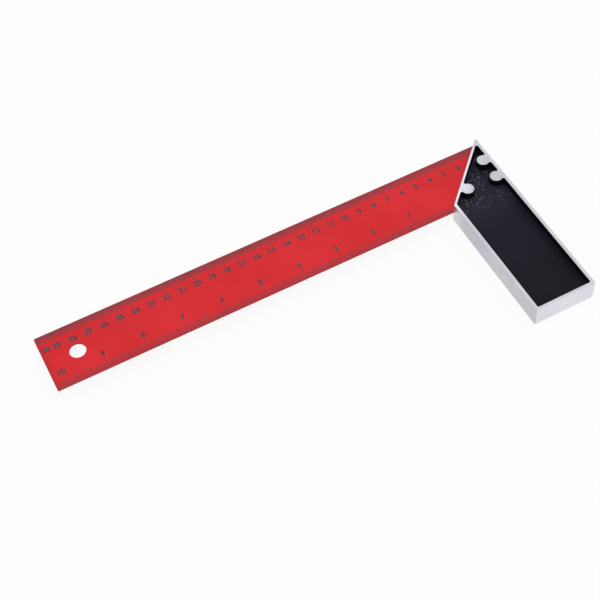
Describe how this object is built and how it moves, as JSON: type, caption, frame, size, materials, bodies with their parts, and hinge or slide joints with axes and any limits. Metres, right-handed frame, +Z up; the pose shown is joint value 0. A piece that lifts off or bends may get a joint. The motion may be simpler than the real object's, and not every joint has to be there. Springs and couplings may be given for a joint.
{
  "type": "carpenter square",
  "caption": "Try square lying flat: a red painted steel blade with a hang hole, riveted at a right angle into a cast aluminium stock with a mitred head and sunk black panels.",
  "frame": {"origin": "the heel of the square, where the blade's outer edge meets the stock's outer face, on the plane that the square lies on", "axes": "+X along the blade to its free end, +Y along the stock to its far end, +Z up through the thickness"},
  "size_m": [0.3, 0.13, 0.014],
  "materials": {
    "stock": "die-cast, sunk panels painted satin black, rims and outer faces milled bright",
    "blade": "semi-gloss red paint on both faces, printed black scale",
    "rivet": "ground flush, bright"
  },
  "bodies": {
    "root": {"stock": "stock", "blade": "blade", "corner_rivet": "rivet", "outer_rivet": "rivet", "inner_rivet": "rivet"}
  },
  "joints": []
}
